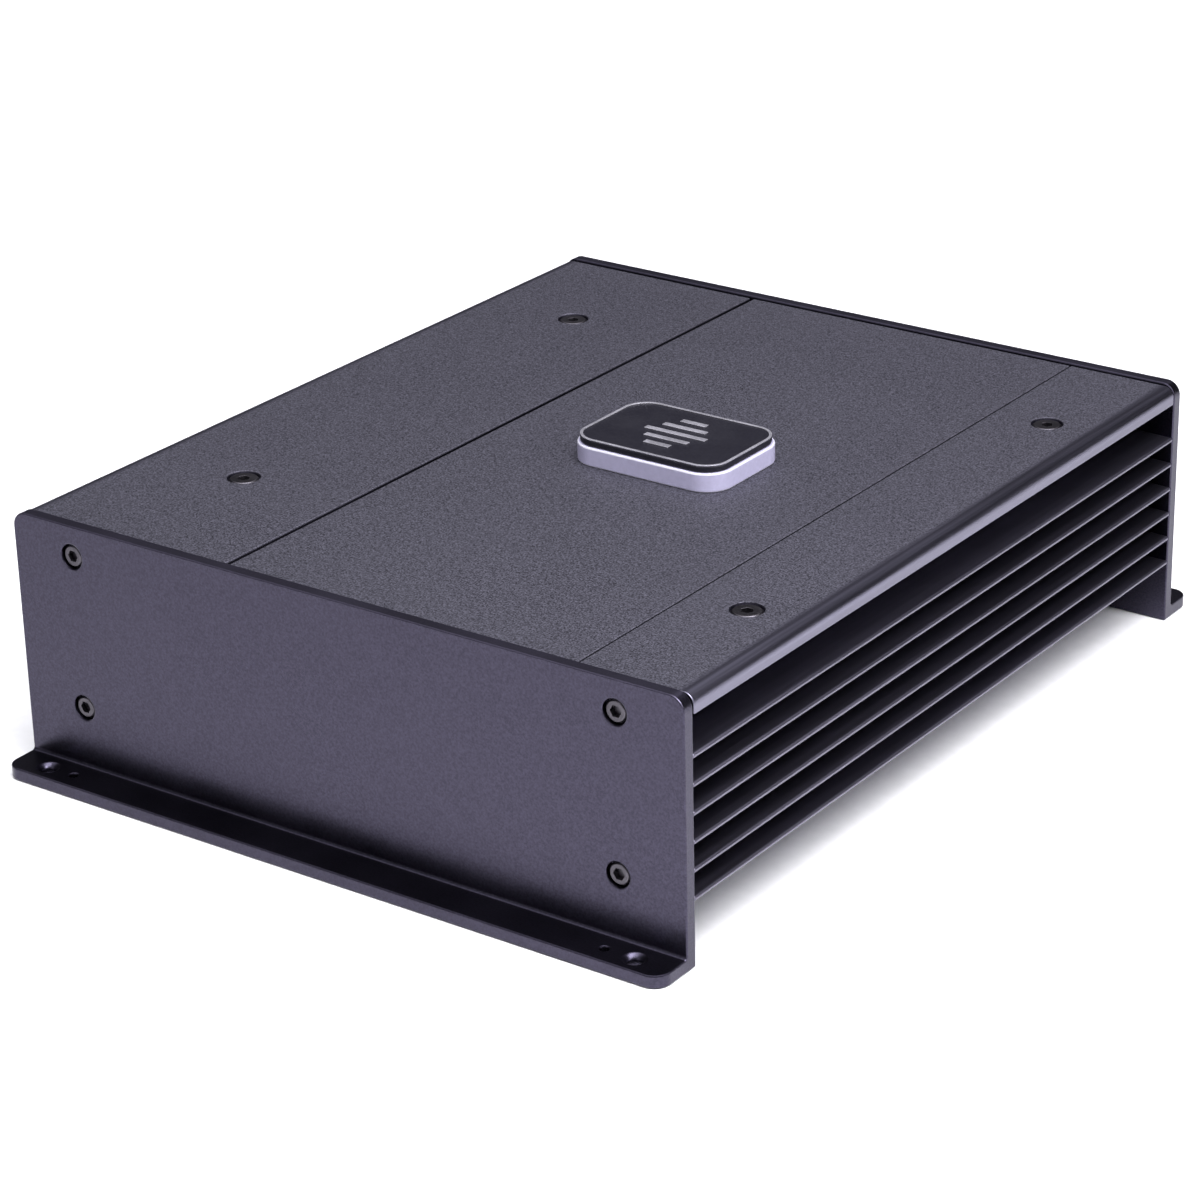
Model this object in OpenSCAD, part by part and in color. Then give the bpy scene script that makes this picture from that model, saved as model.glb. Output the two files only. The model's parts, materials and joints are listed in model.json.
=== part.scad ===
// Car audio power amplifier: two extrusions closed by bent end plates with foot flanges.
// X runs across the amplifier (terminals at -X, cooling fins at +X), Y along the extrusions, Z up.
// The origin is on the mounting surface, at the middle of the footprint.

/* [Overall] */
// Width across the end plates
body_w = 184; // [176:2:230]
// Height from the mounting surface to the top of the end plates
body_h = 63; // [61:1:80]
// Length of the extrusions between the end plates
chassis_l = 210; // [200:5:300]
// Gap between the mounting surface and the underside of the chassis
ground_gap = 15.2; // [12:0.2:18]

/* [End plates] */
// Thickness of each end plate
plate_t = 3.2; // [2.8:0.2:5]
// Radius of the top corners of each end plate
plate_corner_r = 3.6; // [2:0.2:5]
// How far the foot flange reaches out from the plate
flange_out = 10; // [9:0.5:16]
// Thickness of the foot flange
flange_t = 3; // [2:0.2:5]
// Radius of the outer corners of the foot flange
flange_corner_r = 4; // [2:0.5:6]
// Radius of the bend fillet between plate and flange
bend_r = 0.8; // [0.4:0.2:2]
// Diameter of the countersunk mounting holes in the flange
mount_d = 3.2; // [2.6:0.2:4]
// Diameter of the countersink at the top of a mounting hole
mount_sink_d = 5.4; // [4.6:0.2:7]
// Distance of a mounting hole from the end of the flange
mount_inset = 9.6; // [8:0.2:14]
// Diameter of the small locating hole beside each mounting hole
locating_d = 2.2; // [1.6:0.2:3]
// Distance from the plate's outer face to the row of flange holes
flange_row = 5.4; // [4:0.2:7]
// Distance of the end screws from the sides of the plate
end_screw_inset = 17.3; // [16:0.2:22]
// Height of the lower end screws
end_screw_z0 = 17.9; // [17.5:0.1:19]
// Distance of the upper end screws below the top of the plate
end_screw_drop = 7.5; // [7:0.1:9]

/* [Top panels] */
// How far the end plates stand above the top panels
plate_proud = 0.5; // [0.2:0.1:1.5]
// Width of the removable terminal cover
cover_w = 59.4; // [56:0.2:66]
// Thickness of the terminal cover
cover_t = 3; // [2.6:0.2:4]
// Radius of the long outer edge of the terminal cover
cover_edge_r = 2.4; // [1:0.2:3]
// Width of the groove between terminal cover and main panel
groove_w = 1.2; // [0.8:0.1:2]
// Thickness of the main panel
panel_t = 3.5; // [3:0.1:5]
// Width of the cap strip over the fins
cap_w = 28.6; // [26:0.2:34]
// Height of the lip along the outer edge of the cap strip
cap_lip_h = 4.5; // [4:0.1:6]
// Thickness of the cap strip inside its lip
cap_t = 2.6; // [2.4:0.1:3.2]
// Radius of the outer edge of the cap strip
cap_edge_r = 2.6; // [1:0.1:3]
// Width of the seam between main panel and cap strip
seam_w = 0.4; // [0.2:0.1:1]
// Width of the shadow gap between the top panels and the end plates
panel_end_gap = 0.4; // [0.1:0.05:0.6]
// Distance of the top screws from each other along the amplifier
top_screw_gap = 130; // [110:2:150]
// Shift of the pair of top screws towards the rear plate
top_screw_shift = 1.6; // [-4:0.2:4]
// Diameter of the recess round each top screw
top_recess_d = 7.8; // [7.4:0.1:9]

/* [Cooling fins] */
// Number of cooling fins
fin_count = 6; // [4:1:6]
// Distance from one fin to the next
fin_pitch = 6.56; // [6.3:0.02:6.8]
// Thickness of a fin at its tip
fin_tip_t = 1.2; // [1:0.1:1.6]
// Thickness of a fin at its root
fin_root_t = 1.9; // [1.6:0.1:2.2]
// Depth of the fins from tip to heat wall
fin_depth = 24; // [20:1:26]
// Thickness of the wall that carries the fins
heat_wall_t = 4; // [3.5:0.5:5]

/* [Terminal side] */
// Depth of the terminal wall behind the sides of the end plates
wall_inset = 8; // [7:0.5:10]
// Thickness of the terminal wall
wall_t = 2.5; // [2:0.1:3]
// Width of the ledge above the terminals
ledge_w = 20; // [19:0.5:22]
// Thickness of that ledge
ledge_t = 2.5; // [2:0.1:3]
// Distance between the power terminals
power_pitch = 15; // [14.5:0.5:17]
// Diameter of the bores for the power cables
power_cable_d = 8.6; // [7:0.2:9]
// Diameter of the bore for the remote turn-on wire
remote_wire_d = 4; // [3:0.2:5]
// Distance between the speaker terminals
speaker_pitch = 10; // [9.6:0.2:12]
// Diameter of the bores for the speaker wires
speaker_wire_d = 5; // [4:0.2:5.4]
// Depth of the terminal blocks
block_d = 23; // [22:0.5:25]
// Distance between the two fuses
fuse_pitch = 9; // [8:0.5:11]
// Distance between the signal sockets
rca_pitch = 14; // [12.5:0.5:16]
// Distance between the control knobs
knob_pitch = 18; // [15:1:22]
// Diameter of a control knob
knob_d = 7; // [6:0.5:9]
// Travel of the slide switches
switch_travel = 3; // [2:0.5:4]

/* [Circuit board] */
// Thickness of the circuit boards
board_t = 1.6; // [1.2:0.2:2.4]
// Height of the standoffs under the main board
standoff_h = 7; // [6:0.5:9]
// Gap between the main board and the end plates
board_end_gap = 3; // [2:0.5:8]
// Thickness of the base cover
base_t = 1.5; // [1.2:0.1:1.6]

/* [Badge] */
// Length of the badge across the main panel
badge_l = 42; // [30:1:50]
// Width of the badge along the amplifier
badge_w = 30; // [20:1:40]
// Thickness of the clear badge base
badge_base_t = 4.6; // [2:0.2:6]
// Thickness of the dark badge face
badge_face_t = 1.6; // [1:0.2:3]

/* [Hidden] */
$fn = 48;
eps = 0.01;           // overshoot of a cut past the face it opens
fit_gap = 0.1;        // play round pieces that drop into a pocket
turn_gap = 0.05;      // play round a screw or shaft that turns

// Main planes
x_left = -body_w / 2;
x_right = body_w / 2;
z_top = body_h - plate_proud;
z_base = ground_gap;
y_end = chassis_l / 2;
y_plate = y_end + plate_t;
plate_flat_x = body_w / 2 - plate_corner_r;
edge_x = x_left + plate_proud;              // outer edge of the terminal side
groove_x = edge_x + cover_w;                // left side of the groove
panel_x0 = groove_x + groove_w;             // left side of the main panel
panel_x1 = x_right - cap_w - seam_w;        // right side of the main panel
panel_mid = (panel_x0 + panel_x1) / 2;
heat_x1 = x_right - fin_depth;              // outer face of the heat wall
heat_x0 = heat_x1 - heat_wall_t;            // inner face of the heat wall

// Screws
m3_hole_d = 3.4;
m3_core_d = 2.5;
m3_head_d = 5.5;
m3_head_h = 1.8;
m3_socket = 2.5;      // across the flats
m3_socket_h = 1.3;
head_edge = 0.5;      // chamfer round a screw head
head_recess_d = 6;
head_recess_h = 2.2;
m4_core_d = 3.3;
m4_hole_d = 4.4;
m4_head_d = 7.2;
m4_d = 4;
m4_socket = 2.5;
m4_socket_h = 1.6;
m4_head_h = 0.8;
top_recess_h = 1;     // depth of the recess round a top screw
end_groove_h = 1;     // depth of the shadow gap at the ends of the main panel
end_screw_l = 12;
end_x = body_w / 2 - end_screw_inset;
end_z1 = body_h - end_screw_drop;
boss_w = 6;           // width of the blocks that the end screws enter
boss_under = 2.8;     // material under an upper end screw of the heatsink
rail_boss_under = 3;  // and of the terminal rail
cover_screw_x = (edge_x + groove_x) / 2;
cap_screw_x = (panel_x1 + seam_w + x_right) / 2;
top_screw_y = [top_screw_shift - top_screw_gap / 2, top_screw_shift + top_screw_gap / 2];

// Bridges that the cover screws enter
bridge_w = 8;
bridge_t = 1.5;
bridge_leg = 9;

// Levels inside the chassis
board_z0 = z_base + base_t + standoff_h;
board_z1 = board_z0 + board_t;
ledge_z1 = z_top - cover_t;
ledge_z0 = ledge_z1 - ledge_t;
wall_x0 = x_left + wall_inset;
wall_x1 = wall_x0 + wall_t;
rail_floor_t = 2;
lap_w = 7;            // overlap of base cover and its ledges
lap_t = 2.4;          // thickness of those ledges
rail_x1 = edge_x + ledge_w;
web_t = 2.2;          // hanging web on the heatsink beside the terminal bay
web_h = 12;
web_lap = 1;          // how far that web reaches under the main panel
seat_w = 3.2;         // seat of the terminal cover on the heatsink
seat_t = 2;
cap_lip_w = 5.2;      // width of the lip along the cap strip
cap_step_t = 3;       // thickness of the step under the cap strip
cap_step_gap = 0.2;   // gap between that step and the lip
cap_step_lap = 4;     // how far the step runs under the main panel
base_x0 = rail_x1 + fit_gap;
base_x1 = heat_x0 - fit_gap;

// Terminals and controls
block_x0 = wall_x1 + fit_gap;
block_x1 = block_x0 + block_d;
block_z1 = board_z1 + 22;
cable_z = board_z1 + 10;
clamp_x0 = block_x0 + 5;
clamp_screw_x = block_x1 - 6;
block_wall = 2.2;
clamp_lip = 0.8;      // lip of the block that keeps a clamp in its pocket
window_gap = 1.2;     // room round the cables in the wall's slots
power_bores = [power_cable_d, remote_wire_d, power_cable_d];
power_screw_d = 6;
speaker_screw_d = 4;

function y_row(centre, count, pitch) = [for (i = [0 : count - 1]) centre + (i - (count - 1) / 2) * pitch];

power_ys = y_row(-58, 3, power_pitch);
fuse_ys = y_row(-20.5, 2, fuse_pitch);
speaker_ys = y_row(14, 4, speaker_pitch);
led_ys = y_row(42.5, 2, 5);
rca_ys = y_row(62, 2, rca_pitch);
rca_top = end_z1 - rail_boss_under - 0.6;   // top of the socket block, under the screw block
rca_cap = 5.6;        // height of that block over its upper sockets
rca_zs = [board_z1 + 7, rca_top - rca_cap];
jack_y = 86;
led_d = 3;
rca_flange_d = 10.5;
rca_barrel_d = 8.3;
rca_bore_d = 7;
jack_w = 12;

// Fuses
fuse_head_h = 19;
fuse_head_t = 5;
fuse_slot_w = fuse_head_t + 1.4;
fuse_slot_h = fuse_head_h + 1.4;
fuse_head_x0 = edge_x + 0.8;
fuse_head_x1 = wall_x1 - 0.2;
fuse_blade_l = 11;
fuse_blade_w = 5.1;
fuse_blade_t = 0.7;
fuse_blade_z = 5.6;   // distance of each blade from the middle of the fuse
fuse_holder_d = 17;

// Control panel under the terminal cover
control_x0 = block_x1 + 2;
control_x1 = panel_x0 - web_t - 0.5;
control_mid = (control_x0 + control_x1) / 2;
control_z0 = ledge_z0 - 5;
control_z1 = control_z0 + 1.5;
control_ys = [-28, 62];
control_leg_t = 1.5;
pot_h = 8.5;
pot_w = 9.5;
shaft_d = 4;
pointer_w = 1;        // groove across the top of a knob
knob_ys = y_row(36, 3, knob_pitch);
knob_z0 = control_z1 + 0.4;
knob_z1 = ledge_z1 - 1;
switch_ys = y_row(-12, 2, 16);
lever_w = 2.4;
lever_l = 4;
switch_w = 6;
switch_l = 13;

// Circuit parts on the main board
standoff_d = 6;
standoff_xs = [-52, 50];
standoff_ys = [-y_end + 10, 0, y_end - 10];
base_screw_y = [-y_end + 12, 0, y_end - 12];
flat_head_d = 5.6;
transformer_at = [-8, -50];
transformer_r = [8, 21];
transformer_h = 20;
winding_t = 3;
inductor_at = [[32, 10], [32, 42]];
inductor_r = [4, 13];
inductor_h = 12;
inductor_wire_t = 2;
input_cap_d = 18;
input_cap_h = 30;
input_cap_x = -14;
input_cap_ys = y_row(24, 4, 20);
rail_cap_d = 16;
rail_cap_h = 26;
rail_cap_x = 34;
rail_cap_ys = y_row(-48, 4, 18);
chip_at = [[-12, 84], [14, 84], [30, 70], [-12, -84]];
chip_size = [10, 7, 2.4];

// Power transistors on the heat wall
transistor_ys = y_row(0, 8, 20);
transistor_w = 16;
transistor_t = 4.7;
transistor_z0 = board_z1 + 5;
transistor_z1 = transistor_z0 + 20;
pad_t = 0.5;
transistor_x1 = heat_x0 - pad_t;
transistor_x0 = transistor_x1 - transistor_t;
leg_w = 1.2;
leg_t = 0.6;
leg_pitch = 5.4;
clamp_bar_t = 3;
clamp_bar_h = 8;
clamp_screw_y = y_row(0, 4, 40);
clamp_z = transistor_z0 + 12;
clamp_bar_x0 = transistor_x0 - clamp_bar_t;

// Badge
badge_r = 7;
badge_peg_gap = 12;
badge_peg_d = 2.5;
badge_peg_h = 2;
badge_step = 0.7;     // inset of the dark face from the clear base
badge_rim_w = 0.7;
badge_rim_h = 0.25;

// Carries an outline drawn in X and Z along Y, from y0 to y1
module along_y(y0, y1) {
    translate([0, y1, 0]) rotate([90, 0, 0]) linear_extrude(y1 - y0) children();
}
// A box given by its lowest and highest corners
module block(low, high) {
    translate(low) cube(high - low);
}
module rect(low, high) {
    translate(low) square(high - low);
}
module rod_z(x, y, z0, z1, d, sides = 48) {
    translate([x, y, z0]) cylinder(h = z1 - z0, d = d, $fn = sides);
}
module rod_y(x, z, y0, y1, d, sides = 48) {
    translate([x, y0, z]) rotate([-90, 0, 0]) cylinder(h = y1 - y0, d = d, $fn = sides);
}
module rod_x(y, z, x0, x1, d, sides = 48) {
    translate([x0, y, z]) rotate([0, 90, 0]) cylinder(h = x1 - x0, d = d, $fn = sides);
}
module ring_z(x, y, z0, z1, outer, inner) {
    difference() {
        rod_z(x, y, z0, z1, outer);
        rod_z(x, y, z0 - eps, z1 + eps, inner);
    }
}

// ---------------------------------------------------------------- chassis

// One fin: flat underside, tapering top, rounded tip
module fin_outline(z) {
    tip_x = x_right - fin_tip_t / 2;
    polygon([[heat_x1 - eps, z], [tip_x, z], [tip_x, z + fin_tip_t], [heat_x1 - eps, z + fin_root_t]]);
    translate([tip_x, z + fin_tip_t / 2]) circle(d = fin_tip_t, $fn = 24);
}

module heatsink_outline() {
    cap_seat_z = z_top - cap_t;
    // main panel, and the step that the cap strip lies on
    rect([panel_x0, z_top - panel_t], [panel_x1, z_top]);
    rect([heat_x0, cap_seat_z - cap_step_t], [x_right - cap_lip_w - cap_step_gap, cap_seat_z]);
    rect([panel_x1 - cap_step_lap, cap_seat_z - cap_step_t], [heat_x0 + eps, z_top - panel_t + eps]);
    // heat wall
    rect([heat_x0, z_base], [heat_x1, cap_seat_z]);
    for (i = [0 : fin_count - 1]) fin_outline(z_base + i * fin_pitch);
    // screw blocks in the first gap and between the lowest fins
    rect([end_x - boss_w / 2, end_z1 - boss_under], [end_x + boss_w / 2, cap_seat_z - eps]);
    rect([end_x - boss_w / 2, z_base + fin_tip_t / 2], [end_x + boss_w / 2, z_base + fin_pitch + 0.5]);
    // hanging web and cover seat beside the terminal bay
    rect([panel_x0 - web_t, ledge_z1 - web_h], [panel_x0 + web_lap, ledge_z1]);
    rect([panel_x0, ledge_z1 - eps], [panel_x0 + web_lap, z_top - eps]);
    rect([groove_x - seat_w, ledge_z1 - seat_t], [panel_x0 + eps, ledge_z1]);
    // ledge over the base cover
    rect([heat_x0 - lap_w, z_base + base_t], [heat_x0 + eps, z_base + base_t + lap_t]);
}

module heatsink() {
    color("#3a3842") difference() {
        along_y(-y_end, y_end) heatsink_outline();
        for (z = [end_screw_z0, end_z1]) rod_y(end_x, z, -y_end - eps, y_end + eps, m3_core_d);
        for (y = top_screw_y) rod_z(cap_screw_x, y, z_top - cap_t - 4, z_top, m4_core_d);
        for (y = base_screw_y) rod_z(heat_x0 - lap_w / 2, y, z_base, z_base + 6, m3_core_d);
        for (y = clamp_screw_y) rod_x(y, clamp_z, heat_x0 - eps, heat_x1 - 0.4, m3_core_d);
        // shadow gap at the ends of the main panel
        for (s = [-1, 1])
            block([panel_x0 - eps, s * y_end - panel_end_gap, z_top - end_groove_h],
                [panel_x1 + eps, s * y_end + panel_end_gap, z_top + eps]);
        // pockets that locate the pegs of the badge
        for (dx = [-badge_peg_gap, badge_peg_gap])
            rod_z(panel_mid + dx, 0, z_top - badge_peg_h, z_top + eps, badge_peg_d + fit_gap);
    }
}

module rail_outline() {
    rect([wall_x0, z_base], [wall_x1, ledge_z0 + eps]);
    rect([edge_x, ledge_z0], [rail_x1, ledge_z1]);
    rect([edge_x, z_base], [rail_x1, z_base + rail_floor_t]);
    rect([rail_x1 - 4, z_base + base_t], [rail_x1 + lap_w, z_base + base_t + lap_t]);
    for (s = [0, 1]) {
        z0 = s == 0 ? z_base + rail_floor_t - eps : end_z1 - rail_boss_under;
        z1 = s == 0 ? end_screw_z0 + rail_boss_under : ledge_z0 + eps;
        rect([-end_x - boss_w / 2, z0], [-end_x + boss_w / 2, z1]);
    }
}

// The slot in the wall in front of a row of terminals
module terminal_window(ys, height) {
    block([wall_x0 - 1, ys[0] - height / 2, cable_z - height / 2],
        [wall_x1 + 1, ys[len(ys) - 1] + height / 2, cable_z + height / 2]);
}
module terminal_rail() {
    color("#3a3842") difference() {
        along_y(-y_end, y_end) rail_outline();
        for (z = [end_screw_z0, end_z1]) rod_y(-end_x, z, -y_end - eps, y_end + eps, m3_core_d);
        for (y = base_screw_y) rod_z(rail_x1 + lap_w / 2, y, z_base, z_base + 6, m3_core_d);
        // windows for the terminals
        terminal_window(power_ys, power_cable_d + 2 * window_gap);
        terminal_window(speaker_ys, speaker_wire_d + 2 * window_gap);
        for (y = fuse_ys)
            block([wall_x0 - 1, y - fuse_slot_w / 2, cable_z - fuse_slot_h / 2],
                [wall_x1 + 1, y + fuse_slot_w / 2, cable_z + fuse_slot_h / 2]);
        for (y = rca_ys, z = rca_zs)
            rod_x(y, z, wall_x0 - 1, wall_x1 + 1, rca_flange_d + 2 * fit_gap);
        for (y = led_ys) rod_x(y, cable_z, wall_x0 - 1, wall_x1 + 1, led_d + 2 * fit_gap);
        block([wall_x0 - 1, jack_y - jack_w / 2 - fit_gap, cable_z - jack_w / 2 - fit_gap],
            [wall_x1 + 1, jack_y + jack_w / 2 + fit_gap, cable_z + jack_w / 2 + fit_gap]);
    }
}

// ---------------------------------------------------------------- end plates

// The plate stands on the rear side of y = 0 and its flange reaches towards -Y
module end_plate_shape() {
    x1 = body_w / 2;
    difference() {
        union() {
            along_y(0, plate_t) {
                rect([-x1, 0], [x1, body_h - plate_corner_r]);
                rect([-plate_flat_x, 0], [plate_flat_x, body_h]);
                for (s = [-1, 1])
                    translate([s * plate_flat_x, body_h - plate_corner_r]) circle(plate_corner_r);
            }
            linear_extrude(flange_t) {
                rect([-x1, -flange_out + flange_corner_r], [x1, eps]);
                rect([-x1 + flange_corner_r, -flange_out], [x1 - flange_corner_r, eps]);
                for (s = [-1, 1]) translate([s * (x1 - flange_corner_r), flange_corner_r - flange_out])
                    circle(flange_corner_r);
            }
            // fillet in the bend
            difference() {
                block([-x1, -bend_r, flange_t - eps], [x1, eps, flange_t + bend_r]);
                rod_x(-bend_r, flange_t + bend_r, -x1 - 1, x1 + 1, 2 * bend_r);
            }
        }
        for (x = [-end_x, end_x], z = [end_screw_z0, end_z1]) {
            rod_y(x, z, -1, plate_t + 1, m3_hole_d);
            rod_y(x, z, -1, head_recess_h, head_recess_d);
        }
        for (s = [-1, 1]) {
            x = s * (x1 - mount_inset);
            rod_z(x, -flange_row, -1, flange_t + 1, mount_d);
            translate([x, -flange_row, flange_t - (mount_sink_d - mount_d) / 2])
                cylinder(h = (mount_sink_d - mount_d) / 2 + eps, d1 = mount_d, d2 = mount_sink_d + 2 * eps);
            rod_z(s * end_x, -flange_row, -1, flange_t + 1, locating_d);
        }
    }
}
module front_end_plate() {
    color("#4a4757") translate([0, -y_plate, 0]) end_plate_shape();
}
module rear_end_plate() {
    color("#4a4757") translate([0, y_plate, 0]) rotate(180) end_plate_shape();
}

// A socket screw along +Y with its head starting at y = 0
module socket_screw(length) {
    difference() {
        union() {
            rotate([-90, 0, 0]) cylinder(h = head_edge, d1 = m3_head_d - 2 * head_edge, d2 = m3_head_d);
            rod_y(0, 0, head_edge - eps, m3_head_h, m3_head_d);
            rod_y(0, 0, m3_head_h - eps, length, m3_core_d);
        }
        rod_y(0, 0, -eps, m3_socket_h, m3_socket / cos(30), 6);
    }
}
module end_plate_screws() {
    color("#25242b") for (x = [-end_x, end_x], z = [end_screw_z0, end_z1], turn = [0, 180])
        rotate(turn) translate([x, -y_plate + head_recess_h - m3_head_h, z]) socket_screw(end_screw_l);
}

// ---------------------------------------------------------------- top panels

module top_screw_cut(x, y, plate_z0) {
    rod_z(x, y, plate_z0 - 1, z_top + 1, m4_hole_d);
    rod_z(x, y, z_top - top_recess_h, z_top + 1, top_recess_d);
}
// A low-headed socket screw pointing down, the top of its head at z = 0
module top_screw(length) {
    difference() {
        union() {
            translate([0, 0, -head_edge])
                cylinder(h = head_edge, d1 = m4_head_d, d2 = m4_head_d - 2 * head_edge);
            rod_z(0, 0, -m4_head_h, -head_edge + eps, m4_head_d);
            rod_z(0, 0, -length, -m4_head_h + eps, m4_core_d);
        }
        rod_z(0, 0, -m4_socket_h, 1, m4_socket / cos(30), 6);
    }
}

module terminal_cover() {
    color("#4c4a53") difference() {
        along_y(-y_end + panel_end_gap, y_end - panel_end_gap) {
            rect([edge_x, ledge_z1], [groove_x, z_top - cover_edge_r]);
            rect([edge_x + cover_edge_r, ledge_z1], [groove_x, z_top]);
            intersection() {
                translate([edge_x + cover_edge_r, z_top - cover_edge_r]) circle(cover_edge_r);
                rect([edge_x - 1, ledge_z1], [edge_x + cover_edge_r + eps, z_top]);
            }
        }
        for (y = top_screw_y) top_screw_cut(cover_screw_x, y, ledge_z1);
    }
}
module cover_screws() {
    color("#25242b") for (y = top_screw_y)
        translate([cover_screw_x, y, z_top - top_recess_h + m4_head_h]) top_screw(cover_t + 2);
}
module cover_bridges() {
    color("#3a3842") for (y = top_screw_y) difference() {
        union() {
            block([rail_x1, y - bridge_w / 2, ledge_z1 - seat_t - bridge_t],
                [panel_x0 - web_t, y + bridge_w / 2, ledge_z1 - seat_t]);
            block([rail_x1, y - bridge_w / 2, ledge_z1 - seat_t - eps],
                [groove_x - seat_w, y + bridge_w / 2, ledge_z1]);
            block([panel_x0 - web_t - bridge_t, y - bridge_w / 2, ledge_z1 - bridge_leg],
                [panel_x0 - web_t, y + bridge_w / 2, ledge_z1 - seat_t]);
        }
        rod_z(cover_screw_x, y, ledge_z1 - 5, ledge_z1 + 1, m4_core_d);
    }
}

module fin_cap() {
    x0 = panel_x1 + seam_w;
    lip_x = x_right - cap_lip_w;
    color("#4c4a53") difference() {
        along_y(-y_end + panel_end_gap, y_end - panel_end_gap) {
            rect([x0, z_top - cap_t], [x_right - cap_edge_r, z_top]);
            rect([lip_x, z_top - cap_lip_h], [x_right, z_top - cap_edge_r]);
            rect([lip_x, z_top - cap_edge_r - eps], [x_right - cap_edge_r, z_top - cap_t]);
            intersection() {
                translate([x_right - cap_edge_r, z_top - cap_edge_r]) circle(cap_edge_r);
                rect([x_right - cap_edge_r - eps, z_top - cap_edge_r - eps], [x_right + 1, z_top + 1]);
            }
        }
        for (y = top_screw_y) top_screw_cut(cap_screw_x, y, z_top - cap_t);
    }
}
module fin_cap_screws() {
    color("#25242b") for (y = top_screw_y)
        translate([cap_screw_x, y, z_top - top_recess_h + m4_head_h]) top_screw(cap_t + 3);
}

// ---------------------------------------------------------------- badge

module badge_outline(inset) {
    l = badge_l - 2 * inset;
    w = badge_w - 2 * inset;
    r = badge_r - inset;
    square([l - 2 * r, w], center = true);
    square([l, w - 2 * r], center = true);
    for (x = [-1, 1], y = [-1, 1]) translate([x * (l / 2 - r), y * (w / 2 - r)]) circle(r);
}
module badge_base() {
    color("#b9b4d6") translate([panel_mid, 0, z_top]) {
        linear_extrude(badge_base_t) badge_outline(0);
        for (dx = [-badge_peg_gap, badge_peg_gap]) rod_z(dx, 0, -badge_peg_h, eps, badge_peg_d);
    }
}
module badge_face() {
    color("#1b1a20") translate([panel_mid, 0, z_top + badge_base_t])
        linear_extrude(badge_face_t) badge_outline(badge_step);
}
// Raised silver rim and a row of level bars
module badge_inlay() {
    bar_w = 1.6;
    bars = [7, 12, 17, 12, 7];
    color("#a9a8b4") translate([panel_mid, 0, z_top + badge_base_t + badge_face_t]) {
        linear_extrude(badge_rim_h) difference() {
            badge_outline(badge_step);
            badge_outline(badge_step + badge_rim_w);
        }
        for (i = [0 : len(bars) - 1])
            translate([-bars[i] / 2, (i - (len(bars) - 1) / 2) * 2.4 * bar_w - bar_w / 2, 0])
                cube([bars[i], bar_w, badge_rim_h]);
    }
}

// ---------------------------------------------------------------- base and boards

module base_cover() {
    color("#2b2a30") difference() {
        block([base_x0, -y_end + 0.3, z_base], [base_x1, y_end - 0.3, z_base + base_t]);
        for (y = base_screw_y, x = [rail_x1 + lap_w / 2, heat_x0 - lap_w / 2])
            rod_z(x, y, z_base - 1, z_base + base_t + 1, m3_hole_d);
    }
}
module base_screws() {
    color("#25242b") for (y = base_screw_y, x = [rail_x1 + lap_w / 2, heat_x0 - lap_w / 2])
        translate([x, y, z_base]) difference() {
            union() {
                rod_z(0, 0, -1.6, 0, flat_head_d);
                rod_z(0, 0, -eps, base_t + lap_t + 1, m3_core_d);
            }
            block([-0.4, -3, -1.7], [0.4, 3, -1]);
            block([-3, -0.4, -1.7], [3, 0.4, -1]);
        }
}
module main_board() {
    color("#1f5136") difference() {
        block([wall_x1 + 0.3, -y_end + board_end_gap, board_z0],
            [heat_x0 - 2, y_end - board_end_gap, board_z1]);
        for (x = standoff_xs, y = standoff_ys) rod_z(x, y, board_z0 - 1, board_z1 + 1, m3_hole_d);
        rod_z(transformer_at[0], transformer_at[1], board_z0 - 1, board_z1 + 1, m4_hole_d);
    }
}
module board_standoffs() {
    color("#b08d3c") for (x = standoff_xs, y = standoff_ys)
        ring_z(x, y, z_base + base_t, board_z0, standoff_d, m3_core_d);
}
module board_screws() {
    color("#8d8f94") for (x = standoff_xs, y = standoff_ys) translate([x, y, board_z1]) difference() {
        union() {
            rod_z(0, 0, 0, m3_head_h, m3_head_d);
            rod_z(0, 0, -board_t - 4, eps, m3_core_d);
        }
        block([-0.4, -2, 1], [0.4, 2, 3]);
        block([-2, -0.4, 1], [2, 0.4, 3]);
    }
}

// A ring core wrapped in a thick winding
module toroid_core(at, r, h, wrap) {
    translate([at[0], at[1], board_z1 + wrap]) rotate_extrude()
        rect([r[0] + wrap, 0], [r[1] - wrap, h - 2 * wrap]);
}
module toroid_winding(at, r, h, wrap) {
    round_r = wrap * 0.8;
    translate([at[0], at[1], board_z1]) rotate_extrude() difference() {
        union() {
            rect([r[0] + round_r, 0], [r[1] - round_r, h]);
            rect([r[0], round_r], [r[1], h - round_r]);
            for (x = [r[0] + round_r, r[1] - round_r], z = [round_r, h - round_r])
                translate([x, z]) circle(round_r, $fn = 24);
        }
        rect([r[0] + wrap, wrap], [r[1] - wrap, h - wrap]);
    }
}
module transformer_core() {
    color("#6f7276") toroid_core(transformer_at, transformer_r, transformer_h, winding_t);
}
module transformer_winding() {
    color("#b5652b") toroid_winding(transformer_at, transformer_r, transformer_h, winding_t);
}
module transformer_clamp() {
    z = board_z1 + transformer_h;
    color("#8d8f94") translate([transformer_at[0], transformer_at[1], 0]) {
        rod_z(0, 0, z, z + 1.2, 32);
        rod_z(0, 0, z + 1.2 - eps, z + 4, 7, 6);
        rod_z(0, 0, board_z0 - 3, z + eps, m4_d);
    }
}
module inductor_cores() {
    color("#d8c24a") for (at = inductor_at) toroid_core(at, inductor_r, inductor_h, inductor_wire_t);
}
module inductor_windings() {
    color("#b5652b") for (at = inductor_at) toroid_winding(at, inductor_r, inductor_h, inductor_wire_t);
}

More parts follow.
